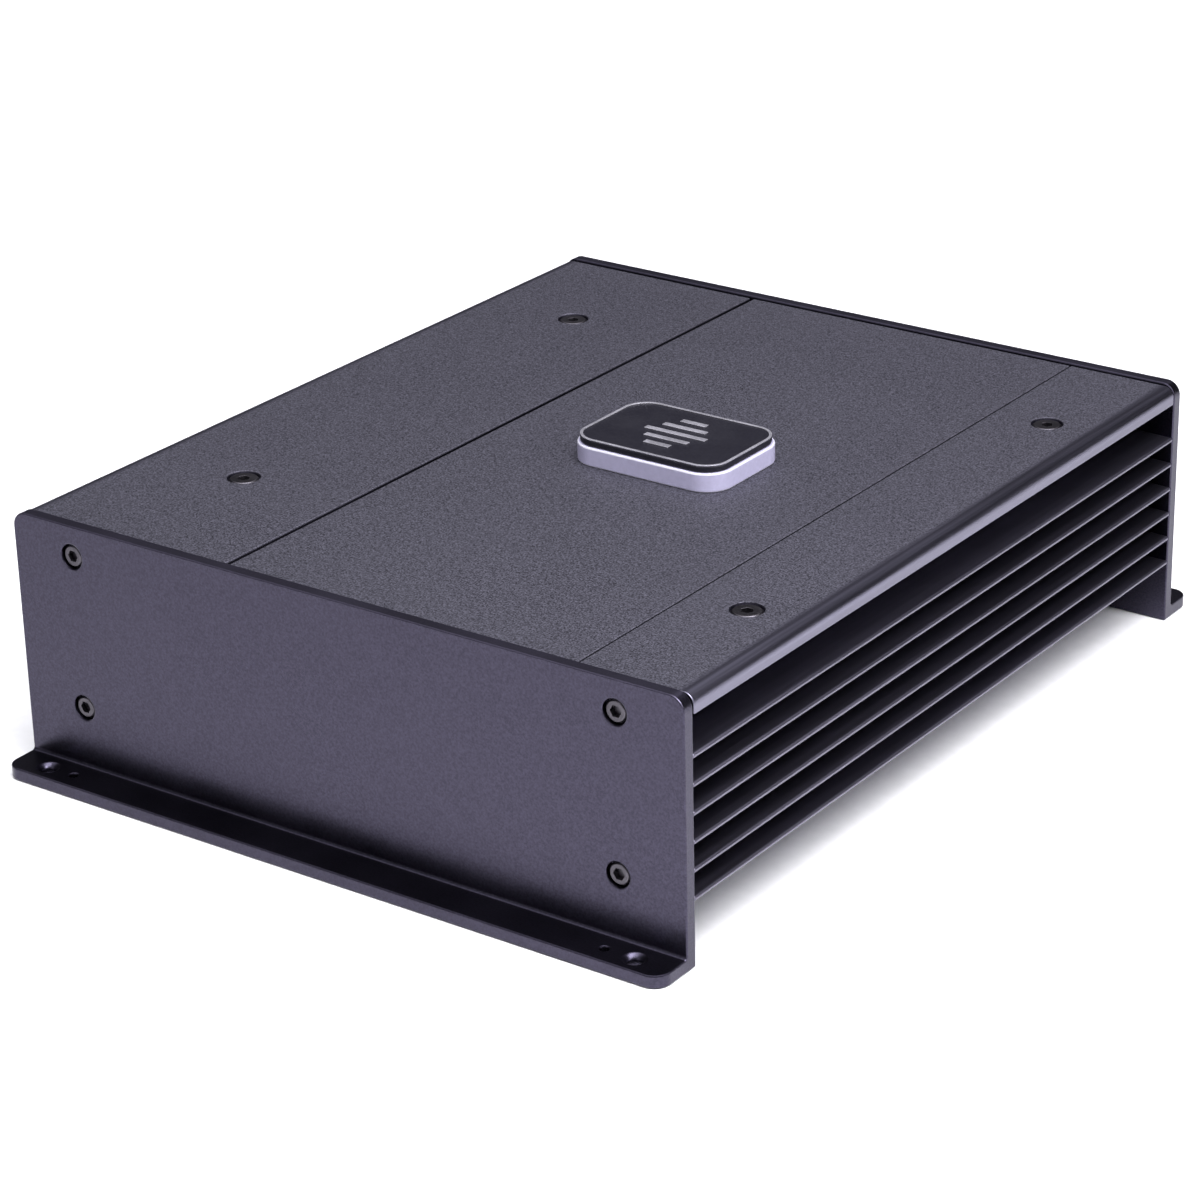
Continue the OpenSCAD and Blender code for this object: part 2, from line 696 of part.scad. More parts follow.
// An electrolytic can with the crimp groove near its foot and a scored top
module capacitor(x, y, d, h) {
    translate([x, y, board_z1]) difference() {
        rod_z(0, 0, 0, h, d);
        translate([0, 0, 2.6]) rotate_extrude() translate([d / 2 + 0.3, 0]) circle(0.8, $fn = 24);
        for (turn = [0, 90]) rotate(turn) block([-d / 4, -0.3, h - 0.4], [d / 4, 0.3, h + 1]);
    }
}
module input_capacitors() {
    color("#20242c") for (y = input_cap_ys) capacitor(input_cap_x, y, input_cap_d, input_cap_h);
}
module rail_capacitors() {
    color("#20242c") for (y = rail_cap_ys) capacitor(rail_cap_x, y, rail_cap_d, rail_cap_h);
}
module driver_chips() {
    color("#17181b") for (at = chip_at) translate([at[0], at[1], board_z1]) difference() {
        translate([-chip_size[0] / 2, -chip_size[1] / 2, 0]) cube(chip_size);
        rod_z(-chip_size[0] / 2 + 1.4, 0, chip_size[2] - 0.3, chip_size[2] + 1, 1.2);
    }
}

// ---------------------------------------------------------------- output stage

module power_transistors() {
    color("#1c1d20") for (y = transistor_ys)
        block([transistor_x0, y - transistor_w / 2, transistor_z0],
            [transistor_x1, y + transistor_w / 2, transistor_z1]);
}
module transistor_legs() {
    x = transistor_x1 - 2.4;
    color("#9a9ca0") for (y = transistor_ys, i = [-1 : 1])
        block([x, y + i * leg_pitch - leg_w / 2, board_z1],
            [x + leg_t, y + i * leg_pitch + leg_w / 2, transistor_z0]);
}
module insulator_strip() {
    y = transistor_ys[7] + transistor_w / 2 + 2;
    color("#8a8f95") difference() {
        block([transistor_x1, -y, transistor_z0 - 1], [heat_x0, y, transistor_z1 + 1]);
        for (y = clamp_screw_y) rod_x(y, clamp_z, transistor_x1 - 1, heat_x0 + 1, m3_hole_d);
    }
}
module clamp_bar() {
    y = transistor_ys[7] + transistor_w / 2;
    color("#77797e") difference() {
        block([clamp_bar_x0, -y, clamp_z - clamp_bar_h / 2], [transistor_x0, y, clamp_z + clamp_bar_h / 2]);
        for (y = clamp_screw_y) rod_x(y, clamp_z, clamp_bar_x0 - 1, transistor_x0 + 1, m3_hole_d);
    }
}
module clamp_bar_screws() {
    color("#25242b") for (y = clamp_screw_y) difference() {
        union() {
            rod_x(y, clamp_z, clamp_bar_x0 - m3_head_h, clamp_bar_x0, m3_head_d);
            rod_x(y, clamp_z, clamp_bar_x0 - eps, heat_x1 - 1, m3_core_d);
        }
        rod_x(y, clamp_z, clamp_bar_x0 - 3, clamp_bar_x0 - 0.8, m3_socket / cos(30), 6);
    }
}

// ---------------------------------------------------------------- terminals

clamp_z0 = board_z1 + 2.4;
clamp_z1 = block_z1 - 4;

module terminal_block(ys, pitch, screw_d) {
    half = pitch / 2 + block_wall / 2;
    difference() {
        block([block_x0, ys[0] - half, board_z1], [block_x1, ys[len(ys) - 1] + half, block_z1]);
        for (i = [0 : len(ys) - 1]) {
            w = pitch - block_wall;
            block([clamp_x0, ys[i] - w / 2 - fit_gap, clamp_z0],
                [block_x1 + 1, ys[i] + w / 2 + fit_gap, clamp_z1 + fit_gap]);
            block([block_x0 - 1, ys[i] - w / 2 + clamp_lip, clamp_z0 + clamp_lip],
                [clamp_x0 + 1, ys[i] + w / 2 - clamp_lip, clamp_z1 - clamp_lip]);
            rod_z(clamp_screw_x, ys[i], clamp_z1 - 1, block_z1 + 1, screw_d + 1);
        }
    }
}
module terminal_clamps(ys, pitch, bores, screw_d) {
    w = pitch - block_wall;
    for (i = [0 : len(ys) - 1]) difference() {
        block([clamp_x0, ys[i] - w / 2, clamp_z0], [block_x1, ys[i] + w / 2, clamp_z1]);
        rod_x(ys[i], cable_z, clamp_x0 - 1, block_x1 - 1.5, bores[i]);
        rod_z(clamp_screw_x, ys[i], cable_z, clamp_z1 + 1, screw_d + 2 * turn_gap);
    }
}
module clamp_screw(y, bore, d) {
    z0 = cable_z + bore / 2 + 0.1;   // just clear of the cable bore when slack
    difference() {
        rod_z(clamp_screw_x, y, z0, clamp_z1 + 1, d);
        rod_z(clamp_screw_x, y, clamp_z1 - 1.5, clamp_z1 + 2, d * 0.5 / cos(30), 6);
    }
}
speaker_bores = [for (y = speaker_ys) speaker_wire_d];

module power_terminal_block() {
    color("#1e1e22") terminal_block(power_ys, power_pitch, power_screw_d);
}
module power_terminal_clamps() {
    color("#c9a44a") terminal_clamps(power_ys, power_pitch, power_bores, power_screw_d);
}
module speaker_terminal_block() {
    color("#1e1e22") terminal_block(speaker_ys, speaker_pitch, speaker_screw_d);
}
module speaker_terminal_clamps() {
    color("#c9a44a") terminal_clamps(speaker_ys, speaker_pitch, speaker_bores, speaker_screw_d);
}
module power_clamp_screw(i) {
    color("#9a9ca0") clamp_screw(power_ys[i], power_bores[i], power_screw_d);
}
module speaker_clamp_screw(i) {
    color("#9a9ca0") clamp_screw(speaker_ys[i], speaker_wire_d, speaker_screw_d);
}

module fuse_holder() {
    half = fuse_pitch / 2 + 5;
    mid = (fuse_ys[0] + fuse_ys[1]) / 2;
    color("#1e1e22") difference() {
        block([block_x0, mid - half, board_z1], [block_x0 + fuse_holder_d, mid + half, cable_z + 12]);
        for (y = fuse_ys, s = [-1, 1]) {
            z = cable_z + s * fuse_blade_z;
            block([block_x0 - 1, y - fuse_blade_t / 2 - 0.3, z - fuse_blade_w / 2 - 0.3],
                [block_x0 + fuse_blade_l + 1, y + fuse_blade_t / 2 + 0.3, z + fuse_blade_w / 2 + 0.3]);
        }
    }
}
module fuse_head(y) {
    color("#c8452f") difference() {
        union() {
            block([fuse_head_x0, y - fuse_head_t / 2, cable_z - fuse_head_h / 2],
                [fuse_head_x0 + 3, y + fuse_head_t / 2, cable_z + fuse_head_h / 2]);
            block([fuse_head_x0 + 3 - eps, y - fuse_head_t / 2 + 0.5, cable_z - fuse_head_h / 2 + 1],
                [fuse_head_x1, y + fuse_head_t / 2 - 0.5, cable_z + fuse_head_h / 2 - 1]);
        }
        for (s = [-1, 1]) block([fuse_head_x0 - 1, y - 1.2, cable_z + s * fuse_blade_z - 1],
            [fuse_head_x0 + 1, y + 1.2, cable_z + s * fuse_blade_z + 1]);
    }
}
module fuse_blades(y) {
    color("#9a9ca0") for (s = [-1, 1]) {
        z = cable_z + s * fuse_blade_z;
        block([fuse_head_x1, y - fuse_blade_t / 2, z - fuse_blade_w / 2],
            [fuse_head_x1 + fuse_blade_l, y + fuse_blade_t / 2, z + fuse_blade_w / 2]);
    }
}

module rca_block() {
    mid = (rca_ys[0] + rca_ys[1]) / 2;
    half = rca_pitch / 2 + 6.5;
    color("#17181b") difference() {
        union() {
            block([block_x0, mid - half, board_z1], [block_x0 + 13, mid + half, rca_top]);
            for (y = rca_ys, z = rca_zs) {
                rod_x(y, z, wall_x0 - 0.8, block_x0 + eps, rca_flange_d);
                rod_x(y, z, edge_x + 1, wall_x0, rca_bore_d - 0.1);
            }
        }
        for (y = rca_ys, z = rca_zs) rod_x(y, z, edge_x, wall_x1, 3.2);
    }
}
module rca_shells() {
    color("#c9a44a") for (y = rca_ys, z = rca_zs) difference() {
        rod_x(y, z, edge_x + 0.5, wall_x0 - 0.8, rca_barrel_d);
        rod_x(y, z, edge_x, wall_x0, rca_bore_d);
    }
}
module indicator_leds() {
    color("#3c7fd0") for (y = led_ys) {
        rod_x(y, cable_z, wall_x0 - 0.6, wall_x1 + 3, led_d);
        translate([wall_x0 - 0.6, y, cable_z]) sphere(d = led_d);
        for (x = [wall_x1 + 1, wall_x1 + 2.2]) block([x, y - 0.3, board_z1], [x + 0.5, y + 0.3, cable_z]);
    }
}
module remote_jack() {
    half = jack_w / 2;
    color("#17181b") difference() {
        union() {
            block([wall_x0 - 0.8, jack_y - half, cable_z - half],
                [wall_x1 + 12, jack_y + half, cable_z + half]);
            block([wall_x1 + 2, jack_y - half, board_z1], [wall_x1 + 12, jack_y + half, cable_z]);
        }
        block([wall_x0 - 2, jack_y - 4.8, cable_z - 3.6], [wall_x1 + 8, jack_y + 4.8, cable_z + 3.6]);
    }
}

// ---------------------------------------------------------------- controls

control_board_z1 = control_z0 - pot_h;
control_board_z0 = control_board_z1 - board_t;

module control_panel() {
    color("#2b2a30") difference() {
        union() {
            block([control_x0, control_ys[0], control_z0], [control_x1, control_ys[1], control_z1]);
            for (y = [control_ys[0], control_ys[1] - control_leg_t])
                block([control_x0 + 4, y, board_z1], [control_x1, y + control_leg_t, control_z0 + eps]);
        }
        for (y = knob_ys) rod_z(control_mid, y, control_z0 - 1, control_z1 + 1, shaft_d + 0.6);
        for (y = switch_ys) block([control_mid - lever_w / 2 - 0.4, y - lever_l / 2 - 0.4, control_z0 - 1],
            [control_mid + lever_w / 2 + 0.4, y + lever_l / 2 + switch_travel + 0.4, control_z1 + 1]);
    }
}
module control_board() {
    color("#1f5136") block([control_x0 + 1, control_ys[0] + control_leg_t, control_board_z0],
        [control_x1 - 1, control_ys[1] - control_leg_t, control_board_z1]);
}
module pot_bodies() {
    color("#3a4a7a") for (y = knob_ys) difference() {
        block([control_mid - pot_w / 2, y - pot_w / 2, control_board_z1],
            [control_mid + pot_w / 2, y + pot_w / 2, control_z0]);
        rod_z(control_mid, y, control_board_z1 + 2, control_z0 + 1, shaft_d + 2 * turn_gap);
    }
}
module control_knob(y) {
    color("#2e2f34") difference() {
        union() {
            rod_z(control_mid, y, control_board_z1 + 2.3, knob_z0 + eps, shaft_d);
            rod_z(control_mid, y, knob_z0, knob_z1, knob_d);
        }
        block([control_mid - pointer_w / 2, y - knob_d / 2 - 1, knob_z1 - 1.2],
            [control_mid + pointer_w / 2, y + 1, knob_z1 + 1]);
        for (turn = [0 : 30 : 330]) translate([control_mid, y, 0]) rotate(turn)
            rod_z(knob_d / 2 + 0.2, 0, knob_z0 - 1, knob_z1 + 1, 0.9, 16);
    }
}
module switch_bodies() {
    color("#55585e") for (y = switch_ys) difference() {
        block([control_mid - switch_w / 2, y + switch_travel / 2 - switch_l / 2, control_board_z1],
            [control_mid + switch_w / 2, y + switch_travel / 2 + switch_l / 2, control_z0]);
        block([control_mid - lever_w / 2 - 0.3, y - lever_l / 2 - 0.3, control_board_z1 + 3],
            [control_mid + lever_w / 2 + 0.3, y + lever_l / 2 + switch_travel + 0.3, control_z0 + 1]);
    }
}
module slide_lever(y) {
    color("#d9d9dc") block([control_mid - lever_w / 2, y - lever_l / 2, control_board_z1 + 3.3],
        [control_mid + lever_w / 2, y + lever_l / 2, control_z1 + 2.2]);
}

heatsink();
terminal_rail();
front_end_plate();
rear_end_plate();
end_plate_screws();
cover_bridges();
fin_cap();
fin_cap_screws();
badge_base();
badge_face();
badge_inlay();
base_cover();
base_screws();
main_board();
board_standoffs();
board_screws();
transformer_core();
transformer_winding();
transformer_clamp();
inductor_cores();
inductor_windings();
input_capacitors();
rail_capacitors();
driver_chips();
power_transistors();
transistor_legs();
insulator_strip();
clamp_bar();
clamp_bar_screws();
power_terminal_block();
power_terminal_clamps();
speaker_terminal_block();
speaker_terminal_clamps();
fuse_holder();
rca_block();
rca_shells();
control_board();
control_panel();
pot_bodies();
switch_bodies();
indicator_leds();
remote_jack();
terminal_cover();
cover_screws();
power_clamp_screw(0);  // power_clamp_screw_1
power_clamp_screw(1);  // power_clamp_screw_2
power_clamp_screw(2);  // power_clamp_screw_3
speaker_clamp_screw(0);  // speaker_clamp_screw_1
speaker_clamp_screw(1);  // speaker_clamp_screw_2
speaker_clamp_screw(2);  // speaker_clamp_screw_3
speaker_clamp_screw(3);  // speaker_clamp_screw_4
fuse_head(fuse_ys[0]);  // fuse_1
fuse_blades(fuse_ys[0]);  // fuse_1_blades
fuse_head(fuse_ys[1]);  // fuse_2
fuse_blades(fuse_ys[1]);  // fuse_2_blades
control_knob(knob_ys[0]);  // gain_knob
control_knob(knob_ys[1]);  // crossover_knob
control_knob(knob_ys[2]);  // bass_knob
slide_lever(switch_ys[0]);  // filter_switch
slide_lever(switch_ys[1]);  // input_switch
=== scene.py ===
"""Looks of a car audio amplifier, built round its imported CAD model.

The extruded panels are sand-blasted and anodised, the end plates are a smoother satin, and the
terminals, controls and circuit board show when the terminal cover is lifted off.
"""
import json
import math

import bmesh
import bpy
from mathutils import Matrix, Vector

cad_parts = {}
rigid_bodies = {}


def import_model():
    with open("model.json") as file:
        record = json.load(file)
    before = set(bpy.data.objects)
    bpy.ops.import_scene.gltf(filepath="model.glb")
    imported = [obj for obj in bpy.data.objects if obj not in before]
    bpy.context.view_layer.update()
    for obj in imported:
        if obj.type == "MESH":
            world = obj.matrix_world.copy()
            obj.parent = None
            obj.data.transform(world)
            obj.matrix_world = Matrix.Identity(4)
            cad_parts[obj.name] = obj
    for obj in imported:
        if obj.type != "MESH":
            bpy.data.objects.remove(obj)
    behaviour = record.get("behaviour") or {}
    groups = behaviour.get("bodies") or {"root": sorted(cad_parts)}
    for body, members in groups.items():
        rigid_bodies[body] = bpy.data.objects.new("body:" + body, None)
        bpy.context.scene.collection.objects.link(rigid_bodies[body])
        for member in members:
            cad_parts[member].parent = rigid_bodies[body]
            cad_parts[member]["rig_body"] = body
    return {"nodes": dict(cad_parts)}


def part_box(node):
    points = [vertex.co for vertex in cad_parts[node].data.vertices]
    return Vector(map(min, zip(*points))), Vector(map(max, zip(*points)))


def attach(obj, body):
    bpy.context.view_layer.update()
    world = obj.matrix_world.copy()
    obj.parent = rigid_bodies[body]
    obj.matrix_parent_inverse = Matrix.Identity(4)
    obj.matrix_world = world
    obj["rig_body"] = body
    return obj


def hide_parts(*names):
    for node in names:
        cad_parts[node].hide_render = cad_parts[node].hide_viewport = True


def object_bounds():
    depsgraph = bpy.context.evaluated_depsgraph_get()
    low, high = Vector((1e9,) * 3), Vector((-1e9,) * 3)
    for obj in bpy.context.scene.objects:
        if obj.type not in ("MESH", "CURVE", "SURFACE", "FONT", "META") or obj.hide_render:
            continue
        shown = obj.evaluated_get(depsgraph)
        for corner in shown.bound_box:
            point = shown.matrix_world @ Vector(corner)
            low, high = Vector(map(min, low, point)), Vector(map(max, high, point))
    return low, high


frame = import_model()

cad_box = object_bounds()
MM = 0.001
HALF_WIDTH = (cad_box[1][0] - cad_box[0][0]) / 2
NODES = frame["nodes"]
EVEN = (1.0, 1.0, 1.0)    # stretch of a grain that runs the same every way


# ------------------------------------------------------------------ shader maths

class Value:
    """A shader socket that can be used in arithmetic with others and with plain numbers."""

    def __init__(self, owner, socket):
        self.owner = owner
        self.socket = socket

    def _math(self, operation, *others):
        operands = [self, *others]
        return self.owner.node("ShaderNodeMath", {"operation": operation}, dict(enumerate(operands)))

    def __add__(self, other):
        return self._math("ADD", other)

    def __sub__(self, other):
        return self._math("SUBTRACT", other)

    def __rsub__(self, other):
        return self.owner.node("ShaderNodeMath", {"operation": "SUBTRACT"}, {0: other, 1: self})

    def __mul__(self, other):
        return self._math("MULTIPLY", other)

    __radd__ = __add__
    __rmul__ = __mul__

    def above(self, edge):
        return self._math("GREATER_THAN", edge)

    def fraction(self):
        return self._math("FRACT")

    def size(self):
        return self._math("ABSOLUTE")

    def ramp(self, low, high, to_low=0.0, to_high=1.0):
        """Carries low..high on to to_low..to_high, held at the ends."""
        return self.owner.node("ShaderNodeMapRange", {"clamp": True},
                               {0: self, 1: low, 2: high, 3: to_low, 4: to_high})

    def spread(self, to_low=0.0, to_high=1.0):
        """Stretches the middle of a noise, where most of it lies, over to_low..to_high."""
        return self.ramp(0.3, 0.7, to_low, to_high)


class Nodes:
    """A node tree under construction."""

    def __init__(self, tree):
        self.tree = tree

    def node(self, kind, settings=None, inputs=None, out=0):
        """Adds a node, with its settings first, then the values or links of its sockets."""
        made = self.tree.nodes.new(kind)
        for key, value in (settings or {}).items():
            setattr(made, key, value)
        for key, value in (inputs or {}).items():
            self.feed(made.inputs[key], value)
        return Value(self, made.outputs[out])

    def feed(self, socket, value):
        if isinstance(value, Value):
            self.tree.links.new(value.socket, socket)
        elif isinstance(value, (tuple, list)) and len(value) == 3 and len(socket.default_value) == 4:
            socket.default_value = (*value, 1.0)
        else:
            socket.default_value = value


class Paint(Nodes):
    """One material under construction: its nodes, its Principled shader and a few patterns."""

    def __init__(self, name):
        self.material = bpy.data.materials.new(name)
        self.material.use_nodes = True
        super().__init__(self.material.node_tree)
        self.shader = self.tree.nodes["Principled BSDF"]

    def set(self, **sockets):
        """Sets sockets of the Principled shader by name, with _ for a space."""
        for key, value in sockets.items():
            self.feed(self.shader.inputs[key.replace("_", " ")], value)

    def place(self, stretch=EVEN):
        """The surface's own coordinates in metres, stretched for a grain that runs one way."""
        where = self.node("ShaderNodeTexCoord", out="Object")
        return self.node("ShaderNodeMapping", {}, {"Vector": where, "Scale": stretch})

    def noise(self, grain, detail=3.0, roughness=0.55, stretch=EVEN):
        """Noise whose features are about `grain` metres across."""
        return self.node("ShaderNodeTexNoise", {"noise_dimensions": "3D"},
                         {"Vector": self.place(stretch), "Scale": 1.0 / grain, "Detail": detail,
                          "Roughness": roughness}, out="Fac")

    def cells(self, grain):
        """Distance from the middle of cells about `grain` metres across."""
        return self.node("ShaderNodeTexVoronoi", {"feature": "F1"},
                         {"Vector": self.place(), "Scale": 1.0 / grain}, out="Distance")

    def axis(self, name):
        """One coordinate of the surface, in metres."""
        where = self.node("ShaderNodeTexCoord", out="Object")
        return self.node("ShaderNodeSeparateXYZ", {}, {"Vector": where}, out=name)

    def mix(self, amount, first, second):
        return self.node("ShaderNodeMix", {"data_type": "RGBA"}, {0: amount, 6: first, 7: second}, out=2)

    def bump(self, height, depth, strength=1.0):
        """Relief whose height of 1 stands for `depth` metres."""
        made = self.node("ShaderNodeBump", {}, {"Strength": strength, "Distance": depth, "Height": height},
                         out="Normal")
        self.feed(self.shader.inputs["Normal"], made)

    def edge_band(self):
        """1 on the broken outer edges of a piece and 0 on its faces."""
        return self.node("ShaderNodeAttribute", {"attribute_name": "edge"}, out="Fac")


def times(colour, factor, lift=0.0):
    """A colour made lighter or darker and raised by `lift`, never past white."""
    return tuple(min(1.0, c * factor + lift) for c in colour)


def blasted_grain(p, base):
    """Colour, roughness and relief of sand-blasted and anodised aluminium."""
    fine = p.noise(0.00042, detail=1.0, roughness=0.6)
    coarse = p.noise(0.0012, detail=1.0)
    cloud = p.noise(0.04, detail=2.0)
    tone = fine.spread() * 0.8 + coarse.spread() * 0.2
    colour = p.mix(tone, times(base, 0.27), times(base, 1.73))
    colour = p.mix(cloud.ramp(0.35, 0.65, 0.0, 0.08), colour, times(base, 1.5))
    return colour, fine.ramp(0.25, 0.75, 0.56, 0.68), fine * 0.8 + coarse * 0.2


def satin_anodised(name, base, crown_z):
    """Smooth satin anodising with a faint haze and rubbed edges, duller on the sawn edge above `crown_z`."""
    p = Paint(name)
    crown = p.axis("Z").ramp(crown_z - 0.1 * MM, crown_z + 0.1 * MM)
    grain = p.noise(0.0005, detail=2.0)
    haze = p.noise(0.02, detail=3.0)
    rubbed = p.edge_band() * p.noise(0.003).ramp(0.45, 0.7)
    colour = p.mix(grain.spread(), times(base, 0.78), times(base, 1.22))
    colour = p.mix(haze.ramp(0.4, 0.7, 0.0, 0.12), colour, times(base, 1.4))
    colour = p.mix(rubbed * 0.12, colour, times(base, 3.0))
    colour = p.mix(crown * 0.3, colour, times(base, 1.9))
    p.set(Base_Color=colour, Metallic=1.0, Roughness=haze.spread(0.27, 0.34) + crown * 0.13)
    p.bump(grain, 0.000012, 0.5)
    return p.material


def extruded_anodised(name, base, panel_base, panel_z, satin):
    """Anodised extrusion with faint die lines along it, and sand-blasted where its top faces up.

    `panel_z` is the height of that top, and `satin` is the roughness of its sides.
    """
    p = Paint(name)
    lines = p.noise(0.0009, detail=3.0, stretch=(1.0, 0.012, 1.0))
    roll_start, roll_end = HALF_WIDTH - 4.4 * MM, HALF_WIDTH - 2.4 * MM
    rolled = p.axis("X").size().ramp(roll_start, roll_end)
    on_top = p.axis("Z").ramp(panel_z - 0.4 * MM, panel_z - 0.04 * MM) * (1.0 - rolled)
    panel, panel_rough, panel_relief = blasted_grain(p, panel_base)
    body = p.mix(lines.spread(), times(base, 0.88), times(base, 1.14))
    rubbed = p.edge_band() * p.noise(0.004).ramp(0.45, 0.7)
    body = p.mix(rubbed * 0.12, body, times(base, 3.0))
    rough = panel_rough * on_top + lines.spread(satin - 0.04, satin + 0.04) * (1.0 - on_top)
    p.set(Base_Color=p.mix(on_top, body, panel), Metallic=1.0, Roughness=rough)
    p.bump(panel_relief * on_top + lines * 0.1 * (1.0 - on_top), 0.00005, 0.8)
    return p.material


def metal(name, base, roughness=0.3, brush=EVEN, tarnish=0.15, anisotropic=0.0):
    """Bare or plated metal, dull in patches and bright on its edges; `brush` stretches its grain."""
    p = Paint(name)
    grain = p.noise(0.0004, detail=4.0, stretch=brush)
    patch = p.noise(0.006, detail=3.0)
    colour = p.mix(grain.spread(), times(base, 0.88), base)
    colour = p.mix(patch.ramp(0.45, 0.75, 0.0, tarnish), colour, times(base, 0.45))
    colour = p.mix(p.edge_band() * 0.5, colour, times(base, 1.35))
    rough = grain.spread(-0.05, 0.05) + patch.ramp(0.4, 0.7, roughness, roughness + 0.12)
    p.set(Base_Color=colour, Metallic=1.0, Roughness=rough, Anisotropic=anisotropic)
    p.bump(grain, 0.000003, 0.5)
    return p.material


def moulded(name, base, roughness=0.4, texture=0.00045, relief=0.00002, coat=0.0, specular=0.5):
    """Injection-moulded plastic with a fine mould texture, a soft bloom and slightly polished edges."""
    p = Paint(name)
    grain = p.noise(texture, detail=2.0)
    bloom = p.noise(0.008, detail=3.0)
    light = times(base, 1.18, 0.004)
    colour = p.mix(grain.spread(), times(base, 0.92), light)
    colour = p.mix(bloom.ramp(0.45, 0.75, 0.0, 0.16), colour, times(base, 1.35, 0.01))
    colour = p.mix(p.edge_band() * 0.3, colour, times(base, 1.6, 0.02))
    p.set(Base_Color=colour, Coat_Weight=coat, Specular_IOR_Level=specular,
          Roughness=bloom.spread(roughness - 0.05, roughness + 0.07))
    p.bump(grain, relief, 0.7)
    return p.material


def frosted_acrylic(name, base):
    """Translucent frosted acrylic, paler where it is thin at its edges, with fine saw marks round it."""
    p = Paint(name)
    haze = p.noise(0.0012, detail=3.0)
    saw = p.noise(0.0006, detail=2.0, stretch=(0.15, 0.15, 1.0))
    colour = p.mix(haze.spread(), times(base, 0.9), base)
    p.set(Base_Color=p.mix(p.edge_band() * 0.7, colour, (0.93, 0.92, 1.0)),
          Roughness=saw.spread(0.3, 0.46), Coat_Weight=0.25, Transmission_Weight=0.35, IOR=1.49)
    p.bump(saw, 0.00002, 0.6)
    return p.material


def circuit_board(name, mask_colour, copper_under):
    """Solder-masked board: etched tracks on a fine grid show through the mask, with plated pads."""
    p = Paint(name)
    x = p.axis("X")
    y = p.axis("Y")
    wander = p.noise(0.016, detail=1.0)
    lanes_per_metre = 420.0
    lane_gap = 0.62
    lane_x = (x * lanes_per_metre + wander.ramp(0.45, 0.55) * 3.0).fraction()
    lane_y = (y * lanes_per_metre + wander.ramp(0.45, 0.55) * 5.0).fraction()
    turn = p.noise(0.022, detail=0.0).above(0.5)
    track = lane_x.above(lane_gap) * turn + lane_y.above(lane_gap) * (1.0 - turn)
    pour = p.noise(0.03, detail=0.0).above(0.53)
    copper = (track + pour).ramp(0.4, 0.6)
    pad_ring = p.cells(0.0051)
    pads = (1.0 - pad_ring.above(0.16)) * p.noise(0.009).above(0.52)
    mask = p.mix(copper, mask_colour, copper_under)
    dusty = p.noise(0.003).ramp(0.4, 0.7, 0.0, 0.08)
    colour = p.mix(dusty, p.mix(pads, mask, (0.62, 0.6, 0.55)), (0.3, 0.34, 0.3))
    p.set(Base_Color=colour, Metallic=pads * 0.9, Coat_Weight=0.5,
          Roughness=(1.0 - copper).ramp(0.0, 1.0, 0.28, 0.4))
    p.bump(copper * 0.7 + pads * 0.3, 0.00004, 0.8)
    return p.material


def enamelled_wire(name, base):
    """Varnished copper wire: each turn a little darker or lighter under a hard clear coat."""
    p = Paint(name)
    shade = p.noise(0.0022, detail=2.0)
    varnish = p.noise(0.012, detail=2.0)
    colour = p.mix(shade.spread(), times(base, 0.6), base)
    colour = p.mix(varnish.ramp(0.5, 0.75, 0.0, 0.4), colour, (0.20, 0.05, 0.012))
    p.set(Base_Color=colour, Metallic=0.85, Roughness=shade.spread(0.26, 0.4), Coat_Weight=0.7)
    p.bump(shade, 0.00002, 0.4)
    return p.material


def capacitor_sleeve(name, base, stripe, can_x, first_y, pitch, radius):
    """Shrink sleeve with a pale minus stripe down one side of each can in a row along Y."""
    p = Paint(name)
    grain = p.noise(0.0006, detail=2.0)
    wrinkle = p.noise(0.0035, detail=2.0, stretch=(1.0, 1.0, 0.35))
    off_centre = (((p.axis("Y") - first_y) * (1.0 / pitch) + 0.5).fraction() - 0.5) * pitch
    stripe_half, dash_half, dashes_per_metre = radius * 0.42, radius * 0.12, 260.0
    in_stripe = (1.0 - off_centre.size().above(stripe_half)) * (1.0 - p.axis("X").above(can_x))
    in_dash = (p.axis("Z") * dashes_per_metre).fraction().above(0.55)
    dash = in_dash * (1.0 - off_centre.size().above(dash_half))
    colour = p.mix(in_stripe, p.mix(grain.spread(), base, times(base, 1.3)), stripe)
    colour = p.mix(dash * in_stripe, colour, base)
    p.set(Base_Color=colour, Roughness=grain.spread(0.26, 0.36), Coat_Weight=0.35)
    p.bump(wrinkle * 0.8 + grain * 0.2, 0.00005, 0.5)
    return p.material


def socket_plastic(name, base, tip_x, upper_z):
    """Black nylon whose socket centres are moulded white in the upper row and red in the lower."""
    p = Paint(name)
    grain = p.noise(0.0006, detail=2.0)
    centre = 1.0 - p.axis("X").above(tip_x)
    upper = p.axis("Z").above(upper_z)
    black = p.mix(grain.spread(), times(base, 0.85), times(base, 1.3))
    marked = p.mix(upper, (0.42, 0.02, 0.018), (0.72, 0.71, 0.68))
    marked = p.mix(grain.spread(0.0, 0.2), marked, (0.3, 0.28, 0.26))
    p.set(Base_Color=p.mix(centre, black, marked), Roughness=grain.spread(0.34, 0.44))
    p.bump(grain, 0.00002, 0.6)
    return p.material


def glowing_lens(name, base, glow):
    """Tinted clear plastic that glows with the strength `glow`: lit from inside on the LEDs, painted glow on
    the fuses, which hold no lamp.
    """
    p = Paint(name)
    body = p.noise(0.0012, detail=1.0)
    colour = p.mix(body.spread(), times(base, 0.8), base)
    p.set(Base_Color=colour, Roughness=body.spread(0.08, 0.16), Emission_Color=colour,
          Emission_Strength=glow, Transmission_Weight=0.25)
    p.bump(body, 0.00001, 0.3)
    return p.material


# ------------------------------------------------------------------ meshes

